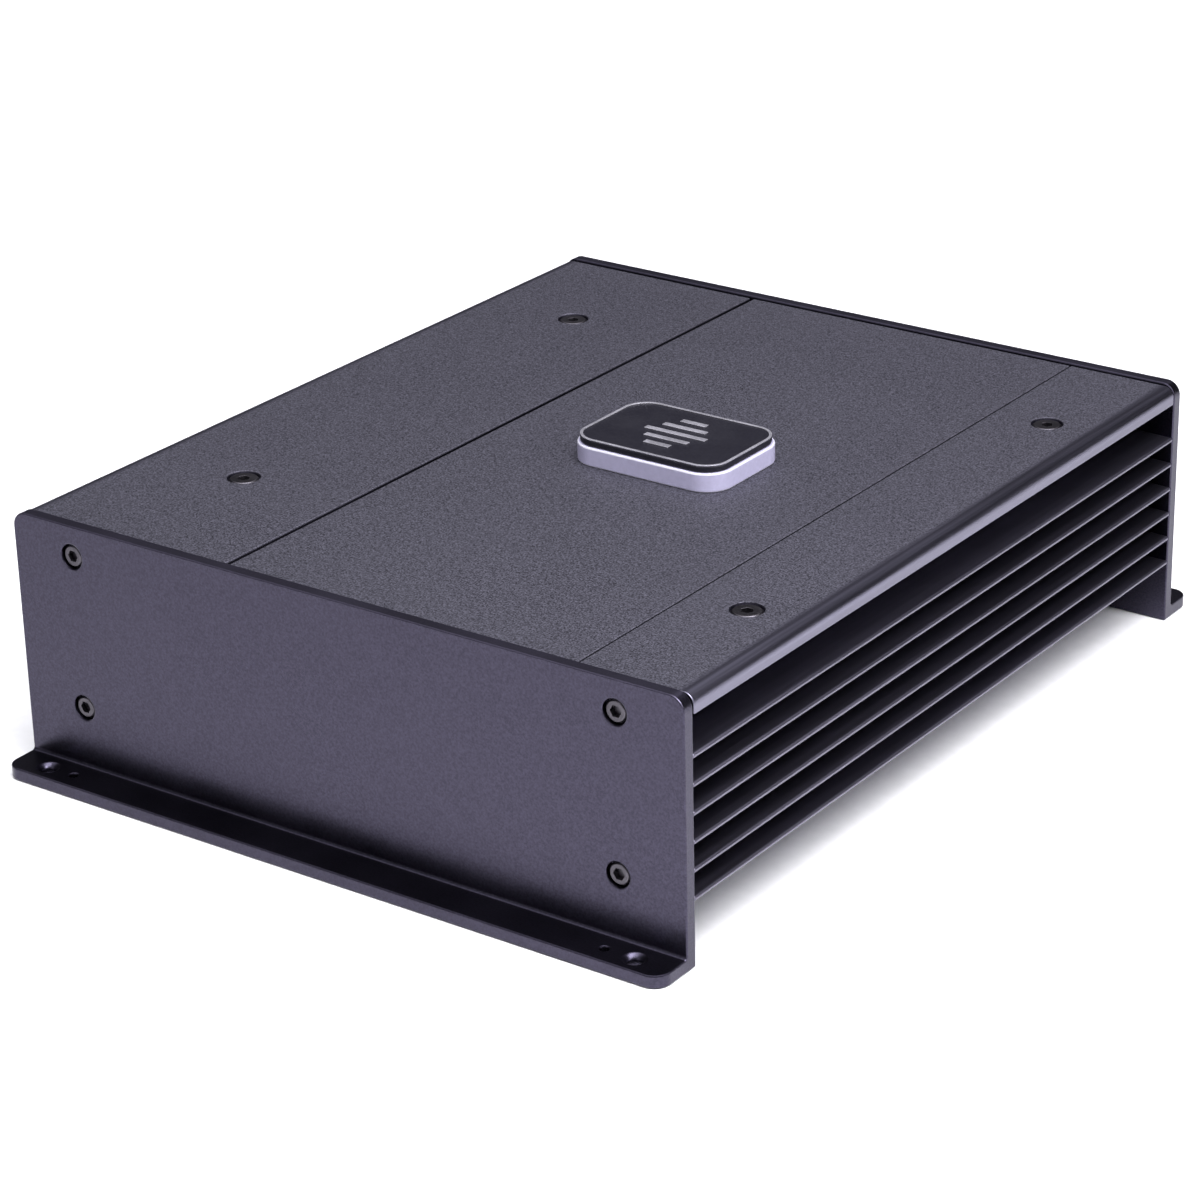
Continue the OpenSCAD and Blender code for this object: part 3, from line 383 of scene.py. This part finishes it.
FLAT = math.radians(0.1)    # faces that meet flatter than this become one
CREASE = math.radians(20)    # edges past this are shaded sharp
SHARP = math.radians(28)    # outer edges past this are rounded
WELD = 1e-6    # points nearer than this, in metres, become one


def break_edges(bm, width):
    """Rounds the sharp outer edges and marks the narrow new faces, which are the ones that wear."""
    band = bm.faces.layers.float.new("edge")
    sharp = [e for e in bm.edges if e.is_manifold and e.is_convex and e.calc_face_angle(0.0) > SHARP]
    if sharp:
        made = bmesh.ops.bevel(bm, geom=sharp, offset=width, offset_type="OFFSET", segments=2,
                               profile=0.5, affect="EDGES", clamp_overlap=False)
        for face in made["faces"]:
            face[band] = 1.0


def add_piece(name, bm, material, body, replaced=()):
    """Turns a mesh under construction into a piece that rides on a body."""
    mesh = bpy.data.meshes.new(name)
    for face in bm.faces:
        face.smooth = True
    bm.normal_update()
    bm.to_mesh(mesh)
    bm.free()
    mesh.set_sharp_from_angle(angle=CREASE)
    mesh.materials.append(material)
    made = bpy.data.objects.new(name, mesh)
    bpy.context.scene.collection.objects.link(made)
    made.modifiers.new("flat_faces_stay_flat", "WEIGHTED_NORMAL").keep_sharp = True
    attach(made, body)
    if replaced:
        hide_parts(*replaced)
    return made


def body_of(node):
    return NODES[node]["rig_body"]


def joined_faces(node):
    """The node's mesh with its flat faces whole again."""
    bm = bmesh.new()
    bm.from_mesh(NODES[node].data)
    bmesh.ops.remove_doubles(bm, verts=bm.verts[:], dist=WELD)
    bmesh.ops.dissolve_limit(bm, angle_limit=FLAT, verts=bm.verts[:], edges=bm.edges[:])
    return bm


def finished(node, material, edge=0.2):
    """Takes over a CAD node with its edges broken by `edge` millimetres."""
    bm = joined_faces(node)
    break_edges(bm, edge * MM)
    return add_piece(f"{node}_made", bm, material, body_of(node), [node])


def lathe(bm, profile, centre, steps=48):
    """Turns a profile of (radius, height) points upright; a radius of 0 closes the end."""
    rings = []
    for radius, height in profile:
        if radius == 0:
            rings.append([bm.verts.new(Vector(centre) + Vector((0, 0, height)))])
            continue
        ring = []
        for i in range(steps):
            angle = 2 * math.pi * i / steps
            spot = Vector((radius * math.cos(angle), radius * math.sin(angle), height))
            ring.append(bm.verts.new(Vector(centre) + spot))
        rings.append(ring)
    pairs = list(zip(rings, rings[1:]))
    if len(rings[0]) > 1:
        pairs.append((rings[-1], rings[0]))
    for low, high in pairs:
        for i in range(steps):
            j = (i + 1) % steps
            corners = [low[i % len(low)], low[j % len(low)], high[j % len(high)], high[i % len(high)]]
            corners = list(dict.fromkeys(corners))
            bm.faces.new(corners)


def rounded_outline(low, high, radius, steps=5):
    """A rounded rectangle as (radius, height) points, anticlockwise."""
    points = []
    for i, (x, z) in enumerate([(high[0], high[1]), (low[0], high[1]), (low[0], low[1]), (high[0], low[1])]):
        centre_x = x + (-radius if i in (0, 3) else radius)
        centre_z = z + (-radius if i in (0, 1) else radius)
        for k in range(steps + 1):
            angle = math.pi / 2 * (i + k / steps)
            points.append((centre_x + radius * math.cos(angle), centre_z + radius * math.sin(angle)))
    return points


def wire_turns(bm, centre, low, high, corner, wire, turns, sides=8):
    """Turns of round wire laid side by side through and round a ring core."""
    half = wire / 2
    path = rounded_outline((low[0] + half, low[1] + half), (high[0] - half, high[1] - half), corner)
    for t in range(turns):
        angle = 2 * math.pi * t / turns
        out = Vector((math.cos(angle), math.sin(angle), 0))
        around = Vector((-math.sin(angle), math.cos(angle), 0))
        up = Vector((0, 0, 1))
        spots = [out * r + up * z for r, z in path]
        rings = []
        for i, spot in enumerate(spots):
            ahead = (spots[(i + 1) % len(spots)] - spots[i - 1]).normalized()
            side = ahead.cross(around)
            ring = []
            for k in range(sides):
                phase = 2 * math.pi * k / sides
                offset = around * math.cos(phase) + side * math.sin(phase)
                ring.append(bm.verts.new(centre + spot + offset * half))
            rings.append(ring)
        for i, ring in enumerate(rings):
            before = rings[i - 1]
            for k in range(sides):
                bm.faces.new([before[k], ring[k], ring[(k + 1) % sides], before[(k + 1) % sides]])


def outward(bm):
    bmesh.ops.recalc_face_normals(bm, faces=bm.faces[:])


# ------------------------------------------------------------------ finishes

top_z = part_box("terminal_cover")[1].z
can_low, can_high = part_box("input_capacitors")
rail_low, rail_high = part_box("rail_capacitors")
INPUT_CANS = 4
RAIL_CANS = 4


def can_row(low, high, count):
    """Middle line, first centre, pitch and radius of a row of round cans along Y."""
    radius = (high.x - low.x) / 2
    pitch = (high.y - low.y - 2 * radius) / (count - 1)
    return (low.x + high.x) / 2, low.y + radius, pitch, radius


FIN_BLACK = (0.145, 0.137, 0.180)
PANEL_GREY = (0.103, 0.100, 0.125)
LIP_LILAC = (0.138, 0.132, 0.176)
extrusion = extruded_anodised("extruded_anodising", FIN_BLACK, PANEL_GREY, top_z, satin=0.38)
panel = extruded_anodised("sand_blasted_anodising", LIP_LILAC, PANEL_GREY, top_z, satin=0.32)
plate = satin_anodised("satin_anodising", (0.046, 0.042, 0.062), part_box("front_end_plate")[1].z - 0.35 * MM)
screw = metal("black_oxide", (0.088, 0.082, 0.094), roughness=0.36, tarnish=0.25)
acrylic = frosted_acrylic("frosted_acrylic", (0.66, 0.63, 0.86))
badge_gloss = moulded("badge_gloss", (0.008, 0.0075, 0.012), roughness=0.34, relief=0.000002,
                      specular=0.25)
badge_metal = metal("badge_silver", (0.5, 0.49, 0.54), roughness=0.5, tarnish=0.05)
coated_steel = moulded("coated_steel", (0.03, 0.029, 0.033), roughness=0.5, texture=0.0007, relief=0.00004)
board = circuit_board("solder_mask", (0.012, 0.075, 0.036), (0.03, 0.15, 0.062))
brass = metal("nickelled_brass", (0.72, 0.55, 0.25), roughness=0.28, brush=(1.0, 1.0, 0.05))
zinc = metal("zinc_plate", (0.58, 0.6, 0.63), roughness=0.3)
tin = metal("tinned_copper", (0.66, 0.66, 0.67), roughness=0.34, tarnish=0.3)
ferrite = moulded("ferrite_core", (0.05, 0.052, 0.055), roughness=0.55, relief=0.00005)
powder = moulded("powder_core", (0.72, 0.55, 0.10), roughness=0.42, relief=0.00003, coat=0.2)
copper = enamelled_wire("enamelled_copper", (0.66, 0.24, 0.07))
tape = moulded("amber_tape", (0.42, 0.19, 0.035), roughness=0.25, texture=0.002, relief=0.00004, coat=0.6)
aluminium = metal("mill_aluminium", (0.72, 0.73, 0.75), roughness=0.34, brush=(1.0, 0.03, 1.0),
                  anisotropic=0.3)
chip = moulded("epoxy_package", (0.022, 0.022, 0.024), roughness=0.48, texture=0.0003, relief=0.00003)
silicone = moulded("silicone_pad", (0.30, 0.33, 0.36), roughness=0.62, texture=0.0009, relief=0.00005)
nylon = moulded("black_nylon", (0.018, 0.018, 0.021), roughness=0.44, texture=0.0006, relief=0.00003)
gold = metal("gold_plate", (0.93, 0.66, 0.26), roughness=0.18, tarnish=0.08)
pot_shell = moulded("blue_pot", (0.03, 0.09, 0.32), roughness=0.38)
switch_shell = metal("tinned_shell", (0.62, 0.62, 0.63), roughness=0.32, brush=(1.0, 0.05, 1.0))
lever = moulded("white_nylon", (0.78, 0.78, 0.76), roughness=0.42)
shell_low, shell_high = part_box("rca_shells")
socket_nylon = socket_plastic("socket_nylon", (0.018, 0.018, 0.021), shell_high.x - 1.5 * MM,
                              (shell_low.z + shell_high.z) / 2)
lens = glowing_lens("indicator_lens", (0.06, 0.22, 0.75), glow=0.5)
# the fuses are no lamps: their faint glow is painted light, standing in for light that comes through the red
# plastic
fuse_plastic_painted_glow = glowing_lens("fuse_plastic_painted_glow", (0.62, 0.045, 0.02), glow=0.02)
input_sleeve = capacitor_sleeve("input_can_sleeve", (0.018, 0.022, 0.034), (0.42, 0.43, 0.45),
                                *can_row(can_low, can_high, INPUT_CANS))
rail_sleeve = capacitor_sleeve("rail_can_sleeve", (0.018, 0.022, 0.034), (0.42, 0.43, 0.45),
                               *can_row(rail_low, rail_high, RAIL_CANS))


def pointer_knob(name, base, node):
    """Black knob whose pointer groove is filled with white paint."""
    p = Paint(name)
    low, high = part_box(node)
    middle = (low.x + high.x) / 2
    grain = p.noise(0.0005, detail=2.0)
    groove_half, groove_top, groove_floor = 0.55 * MM, high.z - 1.05 * MM, high.z - 1.4 * MM
    in_groove = (1.0 - (p.axis("X") - middle).size().above(groove_half)) \
        * (1.0 - p.axis("Z").above(groove_top)) * p.axis("Z").above(groove_floor)
    plastic = p.mix(grain.spread(), times(base, 0.85), times(base, 1.2))
    plastic = p.mix(p.edge_band() * 0.3, plastic, (0.12, 0.12, 0.13))
    p.set(Base_Color=p.mix(in_groove, plastic, (0.82, 0.82, 0.8)), Roughness=grain.spread(0.42, 0.52))
    p.bump(grain, 0.00002, 0.6)
    return p.material


knob = pointer_knob("knob_plastic", (0.026, 0.026, 0.03), "gain_knob")

# ------------------------------------------------------------------ pieces

CHASSIS = [
    ("heatsink", extrusion, 0.24), ("terminal_rail", extrusion, 0.15), ("cover_bridges", extrusion, 0.15),
    ("front_end_plate", plate, 0.3), ("rear_end_plate", plate, 0.3), ("terminal_cover", panel, 0.3),
    ("fin_cap", panel, 0.2), ("end_plate_screws", screw, 0.12), ("fin_cap_screws", screw, 0.1),
    ("cover_screws", screw, 0.1), ("badge_base", acrylic, 0.35), ("badge_face", badge_gloss, 0.3),
    ("badge_inlay", badge_metal, 0.06), ("base_cover", coated_steel, 0.15), ("base_screws", screw, 0.1)]
INSIDE = [
    ("main_board", board, 0.08), ("board_standoffs", brass, 0.15), ("board_screws", zinc, 0.15),
    ("transformer_core", ferrite, 0.3), ("transformer_clamp", zinc, 0.2), ("inductor_cores", powder, 0.3),
    ("driver_chips", chip, 0.15), ("power_transistors", chip, 0.3), ("transistor_legs", tin, 0.05),
    ("insulator_strip", silicone, 0.05), ("clamp_bar", aluminium, 0.25), ("clamp_bar_screws", screw, 0.12)]
TERMINALS = [
    ("power_terminal_block", nylon, 0.25), ("power_terminal_clamps", gold, 0.15),
    ("speaker_terminal_block", nylon, 0.25), ("speaker_terminal_clamps", gold, 0.15),
    ("fuse_holder", nylon, 0.25), ("rca_block", socket_nylon, 0.2), ("rca_shells", gold, 0.12),
    ("indicator_leds", lens, 0.1), ("remote_jack", nylon, 0.2), ("control_board", board, 0.08),
    ("control_panel", coated_steel, 0.15), ("pot_bodies", pot_shell, 0.2),
    ("switch_bodies", switch_shell, 0.15)]
CLAMP_SCREWS = [(f"power_clamp_screw_{i}", zinc, 0.2) for i in (1, 2, 3)] \
    + [(f"speaker_clamp_screw_{i}", zinc, 0.15) for i in (1, 2, 3, 4)]
MOVING = [
    ("fuse_1", fuse_plastic_painted_glow, 0.3), ("fuse_1_blades", tin, 0.08), ("fuse_2", fuse_plastic_painted_glow, 0.3),
    ("fuse_2_blades", tin, 0.08), ("gain_knob", knob, 0.15), ("crossover_knob", knob, 0.15),
    ("bass_knob", knob, 0.15), ("filter_switch", lever, 0.25), ("input_switch", lever, 0.25)]
for node, material, edge in CHASSIS + INSIDE + TERMINALS + CLAMP_SCREWS + MOVING:
    finished(node, material, edge)


def wound_cores(node, centres, hole, outer, wire, turns, corner):
    """Enamelled turns over a taped core, one ring at each centre."""
    low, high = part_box(node)
    wires = bmesh.new()
    wrap = bmesh.new()
    for x, y in centres:
        spot = Vector((x, y, low.z))
        height = high.z - low.z
        wire_turns(wires, spot, (hole, 0), (outer, height), corner, wire, turns)
        inset = 0.9 * wire
        inner = rounded_outline((hole + inset, inset), (outer - inset, height - inset), corner)
        lathe(wrap, inner, spot, steps=72)
    outward(wires)
    outward(wrap)
    add_piece(f"{node}_turns", wires, copper, "root", [node])
    add_piece(f"{node}_tape", wrap, tape, "root")


ring_low, ring_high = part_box("transformer_winding")
ring_r = (ring_high.x - ring_low.x) / 2
wound_cores("transformer_winding", [((ring_low.x + ring_high.x) / 2, (ring_low.y + ring_high.y) / 2)],
            hole=8 * MM, outer=ring_r, wire=1.05 * MM, turns=46, corner=2.2 * MM)
ring_low, ring_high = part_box("inductor_windings")
ring_r = (ring_high.x - ring_low.x) / 2
ring_x = (ring_low.x + ring_high.x) / 2
wound_cores("inductor_windings", [(ring_x, ring_low.y + ring_r), (ring_x, ring_high.y - ring_r)],
            hole=4 * MM, outer=ring_r, wire=1.3 * MM, turns=19, corner=1.6 * MM)


def capacitor_cans(node, low, high, count, sleeve):
    """Sleeved cans with a crimp groove, a rolled shoulder and a recessed aluminium top."""
    x, first_y, pitch, radius = can_row(low, high, count)
    tall = high.z - low.z
    shoulder = 1.1 * MM
    body = bmesh.new()
    tops = bmesh.new()
    for i in range(count):
        centre = (x, first_y + i * pitch, low.z)
        profile = [(0, 0), (radius - 0.5 * MM, 0), (radius, 0.5 * MM), (radius, 1.9 * MM),
                   (radius - 0.3 * MM, 2.3 * MM), (radius - 0.6 * MM, 2.8 * MM),
                   (radius - 0.3 * MM, 3.3 * MM),
                   (radius, 3.7 * MM), (radius, tall - shoulder)]
        for k in range(1, 5):
            angle = math.pi / 2 * k / 4
            profile.append((radius - shoulder * (1 - math.cos(angle)),
                            tall - shoulder * (1 - math.sin(angle))))
        rim = radius - shoulder
        profile += [(rim - 0.5 * MM, tall - 0.05 * MM), (rim - 0.7 * MM, tall - 0.4 * MM),
                    (0, tall - 0.4 * MM)]
        lathe(body, profile, centre)
        lid_r = rim - 0.75 * MM
        lathe(tops, [(0, tall - 0.5 * MM), (lid_r, tall - 0.5 * MM), (lid_r, tall - 0.3 * MM),
                     (lid_r - 0.2 * MM, tall - 0.2 * MM), (0.45 * lid_r, tall - 0.2 * MM),
                     (0.4 * lid_r, tall - 0.3 * MM), (0, tall - 0.3 * MM)], centre)
    outward(body)
    outward(tops)
    add_piece(f"{node}_sleeved", body, sleeve, "root", [node])
    add_piece(f"{node}_tops", tops, aluminium, "root")


capacitor_cans("input_capacitors", can_low, can_high, INPUT_CANS, input_sleeve)
capacitor_cans("rail_capacitors", rail_low, rail_high, RAIL_CANS, rail_sleeve)


# ------------------------------------------------------------------ floor, light and camera

def soft_light(name, place, aim, size, power, colour):
    """A rectangular lamp at `place` that faces `aim`, with its size in metres and its power in watts."""
    light = bpy.data.lights.new(name, "AREA")
    light.shape = "RECTANGLE"
    light.size, light.size_y = size
    light.energy = power
    light.color = colour
    lamp = bpy.data.objects.new(name, light)
    bpy.context.scene.collection.objects.link(lamp)
    lamp.location = place
    lamp.rotation_euler = (Vector(aim) - Vector(place)).to_track_quat("-Z", "Y").to_euler()


floor_mesh = bpy.data.meshes.new("floor")
FLOOR_HALF = 8.0
FLOOR_DROP = 0.0002    # keeps the floor just clear of the feet
corners = [(x * FLOOR_HALF, y * FLOOR_HALF, 0) for x, y in ((-1, -1), (1, -1), (1, 1), (-1, 1))]
floor_mesh.from_pydata(corners, [], [(0, 1, 2, 3)])
floor_paint = Paint("pale_floor")
floor_grain = floor_paint.noise(0.004, detail=2.0)
floor_tone = floor_paint.mix(floor_grain.spread(), (0.86, 0.86, 0.865), (0.9, 0.9, 0.905))
floor_paint.set(Base_Color=floor_tone, Roughness=0.75)
floor_mesh.materials.append(floor_paint.material)
floor = bpy.data.objects.new("floor", floor_mesh)
floor.location.z = -FLOOR_DROP
bpy.context.scene.collection.objects.link(floor)

world = bpy.data.worlds.new("studio")
world.use_nodes = True
sky = Nodes(world.node_tree)
direction = sky.node("ShaderNodeTexCoord", out="Generated")
height = sky.node("ShaderNodeSeparateXYZ", {}, {"Vector": direction}, out="Z")
brightness = sky.node("ShaderNodeMapRange", {"interpolation_type": "SMOOTHSTEP"},
                      {"Value": height, "From Min": 0.58, "From Max": 0.95, "To Min": 0.05, "To Max": 1.9})
background = sky.tree.nodes["Background"]
sky.feed(background.inputs["Strength"], brightness)
sky.feed(background.inputs["Color"], (0.94, 0.94, 1.0))
bpy.context.scene.world = world
bpy.context.scene.view_settings.view_transform = "Standard"

soft_light("overhead", (0.25, -0.35, 1.3), (0, 0, 0), (1.1, 0.9), 17, (0.98, 0.98, 1.0))
soft_light("right_strip", (1.0, 0.1, 0.8), (0, 0, 0.03), (0.5, 1.2), 9, (0.96, 0.95, 1.0))
soft_light("corner_glow", (0.34, -0.13, 0.46), (0.06, -0.09, 0.06), (0.3, 0.3), 2.6, (0.98, 0.98, 1.0))
soft_light("front_fill", (-0.3, -1.5, 0.7), (0, 0, 0.05), (1.2, 0.7), 3, (0.98, 0.97, 1.0))

AIM = Vector((0, 0, 31 * MM))
AZIMUTH = math.radians(33.99)
ELEVATION = math.radians(24.075)
ROLL = math.radians(-0.503)
SIDESTEP = 23.2 * MM
DIP = 12.3 * MM
DISTANCE = 885.8 * MM
back = Vector((math.sin(AZIMUTH) * math.cos(ELEVATION), -math.cos(AZIMUTH) * math.cos(ELEVATION),
               math.sin(ELEVATION)))
level = Vector((math.cos(AZIMUTH), math.sin(AZIMUTH), 0))
upright = back.cross(level)
right = level * math.cos(ROLL) + upright * math.sin(ROLL)
up = upright * math.cos(ROLL) - level * math.sin(ROLL)
camera_data = bpy.data.cameras.new("camera")
camera_data.lens = 111.06
camera_data.sensor_width = 36
camera_data.shift_x = -0.1
camera_data.shift_y = 0.0154
camera = bpy.data.objects.new("camera", camera_data)
camera.matrix_world = Matrix.Translation(AIM + level * SIDESTEP - upright * DIP + back * DISTANCE) \
    @ Matrix((right, up, back)).transposed().to_4x4()
bpy.context.scene.collection.objects.link(camera)
bpy.context.scene.camera = camera
